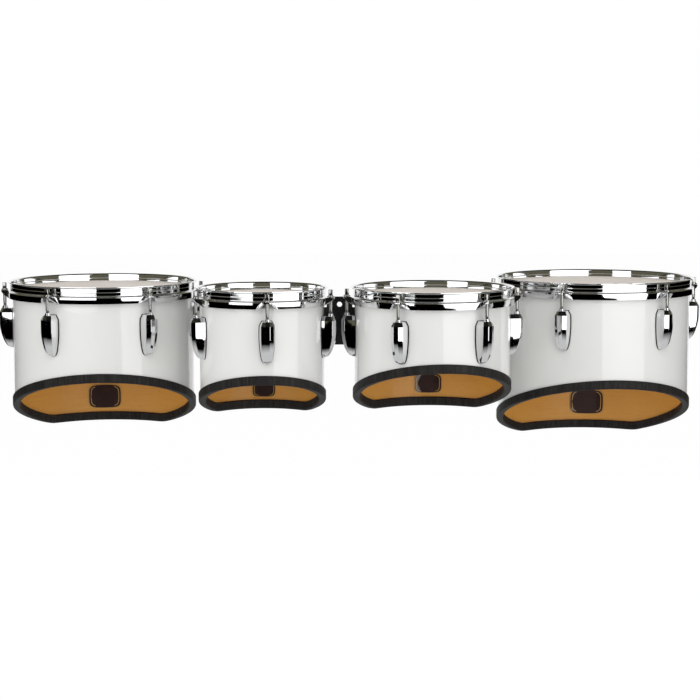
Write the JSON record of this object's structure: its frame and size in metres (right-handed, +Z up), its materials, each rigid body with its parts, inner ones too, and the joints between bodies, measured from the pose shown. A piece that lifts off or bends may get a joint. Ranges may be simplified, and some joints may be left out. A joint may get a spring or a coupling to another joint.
{
  "type": "marching tenor drums",
  "caption": "Row of four single-headed marching tenor drums with slanted open shells, chrome hoops, lugs and rods, joined on a black carrier frame.",
  "frame": {"origin": "middle of the flat rear face of the carrier frame's bar, on the player's side", "axes": "+X to the audience's right along the row, +Y out of the frame's rear face towards the player, +Z up"},
  "size_m": [1.197, 0.5208, 0.2914],
  "materials": {
    "shell_lacquer": "white gloss lacquer outside, clear over maple inside; black edge trim glued round the open bottom",
    "head_film": "coated polyester film in a metal flesh hoop",
    "chrome": "polished chrome plate",
    "frame_black": "black powder coat"
  },
  "bodies": {
    "frame_and_shells": {"shell_12_inch": "shell_lacquer", "lug_12_inch_1": "chrome", "lug_12_inch_2": "chrome", "lug_12_inch_3": "chrome", "lug_12_inch_4": "chrome", "lug_12_inch_5": "chrome", "lug_12_inch_6": "chrome", "shell_8_inch": "shell_lacquer", "lug_8_inch_1": "chrome", "lug_8_inch_2": "chrome", "lug_8_inch_3": "chrome", "lug_8_inch_4": "chrome", "lug_8_inch_5": "chrome", "shell_10_inch": "shell_lacquer", "lug_10_inch_1": "chrome", "lug_10_inch_2": "chrome", "lug_10_inch_3": "chrome", "lug_10_inch_4": "chrome", "lug_10_inch_5": "chrome", "lug_10_inch_6": "chrome", "shell_13_inch": "shell_lacquer", "lug_13_inch_1": "chrome", "lug_13_inch_2": "chrome", "lug_13_inch_3": "chrome", "lug_13_inch_4": "chrome", "lug_13_inch_5": "chrome", "lug_13_inch_6": "chrome", "centre_bracket": "frame_black", "carrier_frame": "frame_black"},
    "head_and_hoop_12_inch": {"drumhead_12_inch": "head_film", "counterhoop_12_inch": "chrome"},
    "rod_12_inch_1": {"tension_rod_12_inch_1": "chrome"},
    "rod_12_inch_2": {"tension_rod_12_inch_2": "chrome"},
    "rod_12_inch_3": {"tension_rod_12_inch_3": "chrome"},
    "rod_12_inch_4": {"tension_rod_12_inch_4": "chrome"},
    "rod_12_inch_5": {"tension_rod_12_inch_5": "chrome"},
    "rod_12_inch_6": {"tension_rod_12_inch_6": "chrome"},
    "head_and_hoop_8_inch": {"drumhead_8_inch": "head_film", "counterhoop_8_inch": "chrome"},
    "rod_8_inch_1": {"tension_rod_8_inch_1": "chrome"},
    "rod_8_inch_2": {"tension_rod_8_inch_2": "chrome"},
    "rod_8_inch_3": {"tension_rod_8_inch_3": "chrome"},
    "rod_8_inch_4": {"tension_rod_8_inch_4": "chrome"},
    "rod_8_inch_5": {"tension_rod_8_inch_5": "chrome"},
    "head_and_hoop_10_inch": {"drumhead_10_inch": "head_film", "counterhoop_10_inch": "chrome"},
    "rod_10_inch_1": {"tension_rod_10_inch_1": "chrome"},
    "rod_10_inch_2": {"tension_rod_10_inch_2": "chrome"},
    "rod_10_inch_3": {"tension_rod_10_inch_3": "chrome"},
    "rod_10_inch_4": {"tension_rod_10_inch_4": "chrome"},
    "rod_10_inch_5": {"tension_rod_10_inch_5": "chrome"},
    "rod_10_inch_6": {"tension_rod_10_inch_6": "chrome"},
    "head_and_hoop_13_inch": {"drumhead_13_inch": "head_film", "counterhoop_13_inch": "chrome"},
    "rod_13_inch_1": {"tension_rod_13_inch_1": "chrome"},
    "rod_13_inch_2": {"tension_rod_13_inch_2": "chrome"},
    "rod_13_inch_3": {"tension_rod_13_inch_3": "chrome"},
    "rod_13_inch_4": {"tension_rod_13_inch_4": "chrome"},
    "rod_13_inch_5": {"tension_rod_13_inch_5": "chrome"},
    "rod_13_inch_6": {"tension_rod_13_inch_6": "chrome"}
  },
  "joints": [
    {"name": "hoop_lift_12_inch", "type": "slide", "parent": "frame_and_shells", "child": "head_and_hoop_12_inch", "axis": [0, 0, 1], "range_m": [0, 0.00317]},
    {"name": "rod_turn_12_inch_1", "type": "hinge", "parent": "head_and_hoop_12_inch", "child": "rod_12_inch_1", "pos_m": [-0.46791, -0.18058, 0.075], "axis": [0, 0, 1], "range_deg": [0, 1080]},
    {"name": "rod_turn_12_inch_2", "type": "hinge", "parent": "head_and_hoop_12_inch", "child": "rod_12_inch_2", "pos_m": [-0.30463, -0.1663, 0.075], "axis": [0, 0, 1], "range_deg": [0, 1080]},
    {"name": "rod_turn_12_inch_3", "type": "hinge", "parent": "head_and_hoop_12_inch", "child": "rod_12_inch_3", "pos_m": [-0.23537, -0.01775, 0.075], "axis": [0, 0, 1], "range_deg": [0, 1080]},
    {"name": "rod_turn_12_inch_4", "type": "hinge", "parent": "head_and_hoop_12_inch", "child": "rod_12_inch_4", "pos_m": [-0.32938, 0.1165, 0.075], "axis": [0, 0, 1], "range_deg": [0, 1080]},
    {"name": "rod_turn_12_inch_5", "type": "hinge", "parent": "head_and_hoop_12_inch", "child": "rod_12_inch_5", "pos_m": [-0.49265, 0.10222, 0.075], "axis": [0, 0, 1], "range_deg": [0, 1080]},
    {"name": "rod_turn_12_inch_6", "type": "hinge", "parent": "head_and_hoop_12_inch", "child": "rod_12_inch_6", "pos_m": [-0.56192, -0.04632, 0.075], "axis": [0, 0, 1], "range_deg": [0, 1080]},
    {"name": "hoop_lift_8_inch", "type": "slide", "parent": "frame_and_shells", "child": "head_and_hoop_8_inch", "axis": [0, 0, 1], "range_m": [0, 0.00317]},
    {"name": "rod_turn_8_inch_1", "type": "hinge", "parent": "head_and_hoop_8_inch", "child": "rod_8_inch_1", "pos_m": [-0.11086, -0.28031, 0.075], "axis": [0, 0, 1], "range_deg": [0, 1080]},
    {"name": "rod_turn_8_inch_2", "type": "hinge", "parent": "head_and_hoop_8_inch", "child": "rod_8_inch_2", "pos_m": [-0.01362, -0.18963, 0.075], "axis": [0, 0, 1], "range_deg": [0, 1080]},
    {"name": "rod_turn_8_inch_3", "type": "hinge", "parent": "head_and_hoop_8_inch", "child": "rod_8_inch_3", "pos_m": [-0.06981, -0.06913, 0.075], "axis": [0, 0, 1], "range_deg": [0, 1080]},
    {"name": "rod_turn_8_inch_4", "type": "hinge", "parent": "head_and_hoop_8_inch", "child": "rod_8_inch_4", "pos_m": [-0.20178, -0.08534, 0.075], "axis": [0, 0, 1], "range_deg": [0, 1080]},
    {"name": "rod_turn_8_inch_5", "type": "hinge", "parent": "head_and_hoop_8_inch", "child": "rod_8_inch_5", "pos_m": [-0.22715, -0.21585, 0.075], "axis": [0, 0, 1], "range_deg": [0, 1080]},
    {"name": "hoop_lift_10_inch", "type": "slide", "parent": "frame_and_shells", "child": "head_and_hoop_10_inch", "axis": [0, 0, 1], "range_m": [0, 0.00317]},
    {"name": "rod_turn_10_inch_1", "type": "hinge", "parent": "head_and_hoop_10_inch", "child": "rod_10_inch_1", "pos_m": [0.0915, -0.28542, 0.075], "axis": [0, 0, 1], "range_deg": [0, 1080]},
    {"name": "rod_turn_10_inch_2", "type": "hinge", "parent": "head_and_hoop_10_inch", "child": "rod_10_inch_2", "pos_m": [0.22947, -0.27335, 0.075], "axis": [0, 0, 1], "range_deg": [0, 1080]},
    {"name": "rod_turn_10_inch_3", "type": "hinge", "parent": "head_and_hoop_10_inch", "child": "rod_10_inch_3", "pos_m": [0.28801, -0.14783, 0.075], "axis": [0, 0, 1], "range_deg": [0, 1080]},
    {"name": "rod_turn_10_inch_4", "type": "hinge", "parent": "head_and_hoop_10_inch", "child": "rod_10_inch_4", "pos_m": [0.20857, -0.03438, 0.075], "axis": [0, 0, 1], "range_deg": [0, 1080]},
    {"name": "rod_turn_10_inch_5", "type": "hinge", "parent": "head_and_hoop_10_inch", "child": "rod_10_inch_5", "pos_m": [0.07059, -0.04645, 0.075], "axis": [0, 0, 1], "range_deg": [0, 1080]},
    {"name": "rod_turn_10_inch_6", "type": "hinge", "parent": "head_and_hoop_10_inch", "child": "rod_10_inch_6", "pos_m": [0.01206, -0.17197, 0.075], "axis": [0, 0, 1], "range_deg": [0, 1080]},
    {"name": "hoop_lift_13_inch", "type": "slide", "parent": "frame_and_shells", "child": "head_and_hoop_13_inch", "axis": [0, 0, 1], "range_m": [0, 0.00317]},
    {"name": "rod_turn_13_inch_1", "type": "hinge", "parent": "head_and_hoop_13_inch", "child": "rod_13_inch_1", "pos_m": [0.36551, -0.10528, 0.075], "axis": [0, 0, 1], "range_deg": [0, 1080]},
    {"name": "rod_turn_13_inch_2", "type": "hinge", "parent": "head_and_hoop_13_inch", "child": "rod_13_inch_2", "pos_m": [0.54144, -0.08989, 0.075], "axis": [0, 0, 1], "range_deg": [0, 1080]},
    {"name": "rod_turn_13_inch_3", "type": "hinge", "parent": "head_and_hoop_13_inch", "child": "rod_13_inch_3", "pos_m": [0.61607, 0.07016, 0.075], "axis": [0, 0, 1], "range_deg": [0, 1080]},
    {"name": "rod_turn_13_inch_4", "type": "hinge", "parent": "head_and_hoop_13_inch", "child": "rod_13_inch_4", "pos_m": [0.51478, 0.21482, 0.075], "axis": [0, 0, 1], "range_deg": [0, 1080]},
    {"name": "rod_turn_13_inch_5", "type": "hinge", "parent": "head_and_hoop_13_inch", "child": "rod_13_inch_5", "pos_m": [0.33885, 0.19943, 0.075], "axis": [0, 0, 1], "range_deg": [0, 1080]},
    {"name": "rod_turn_13_inch_6", "type": "hinge", "parent": "head_and_hoop_13_inch", "child": "rod_13_inch_6", "pos_m": [0.26422, 0.03938, 0.075], "axis": [0, 0, 1], "range_deg": [0, 1080]}
  ],
  "couplings": [
    {"joint": "rod_turn_12_inch_1", "follows": "hoop_lift_12_inch", "rad_per_m": 5937.1},
    {"joint": "rod_turn_12_inch_2", "follows": "hoop_lift_12_inch", "rad_per_m": 5937.1},
    {"joint": "rod_turn_12_inch_3", "follows": "hoop_lift_12_inch", "rad_per_m": 5937.1},
    {"joint": "rod_turn_12_inch_4", "follows": "hoop_lift_12_inch", "rad_per_m": 5937.1},
    {"joint": "rod_turn_12_inch_5", "follows": "hoop_lift_12_inch", "rad_per_m": 5937.1},
    {"joint": "rod_turn_12_inch_6", "follows": "hoop_lift_12_inch", "rad_per_m": 5937.1},
    {"joint": "rod_turn_8_inch_1", "follows": "hoop_lift_8_inch", "rad_per_m": 5937.1},
    {"joint": "rod_turn_8_inch_2", "follows": "hoop_lift_8_inch", "rad_per_m": 5937.1},
    {"joint": "rod_turn_8_inch_3", "follows": "hoop_lift_8_inch", "rad_per_m": 5937.1},
    {"joint": "rod_turn_8_inch_4", "follows": "hoop_lift_8_inch", "rad_per_m": 5937.1},
    {"joint": "rod_turn_8_inch_5", "follows": "hoop_lift_8_inch", "rad_per_m": 5937.1},
    {"joint": "rod_turn_10_inch_1", "follows": "hoop_lift_10_inch", "rad_per_m": 5937.1},
    {"joint": "rod_turn_10_inch_2", "follows": "hoop_lift_10_inch", "rad_per_m": 5937.1},
    {"joint": "rod_turn_10_inch_3", "follows": "hoop_lift_10_inch", "rad_per_m": 5937.1},
    {"joint": "rod_turn_10_inch_4", "follows": "hoop_lift_10_inch", "rad_per_m": 5937.1},
    {"joint": "rod_turn_10_inch_5", "follows": "hoop_lift_10_inch", "rad_per_m": 5937.1},
    {"joint": "rod_turn_10_inch_6", "follows": "hoop_lift_10_inch", "rad_per_m": 5937.1},
    {"joint": "rod_turn_13_inch_1", "follows": "hoop_lift_13_inch", "rad_per_m": 5937.1},
    {"joint": "rod_turn_13_inch_2", "follows": "hoop_lift_13_inch", "rad_per_m": 5937.1},
    {"joint": "rod_turn_13_inch_3", "follows": "hoop_lift_13_inch", "rad_per_m": 5937.1},
    {"joint": "rod_turn_13_inch_4", "follows": "hoop_lift_13_inch", "rad_per_m": 5937.1},
    {"joint": "rod_turn_13_inch_5", "follows": "hoop_lift_13_inch", "rad_per_m": 5937.1},
    {"joint": "rod_turn_13_inch_6", "follows": "hoop_lift_13_inch", "rad_per_m": 5937.1}
  ]
}
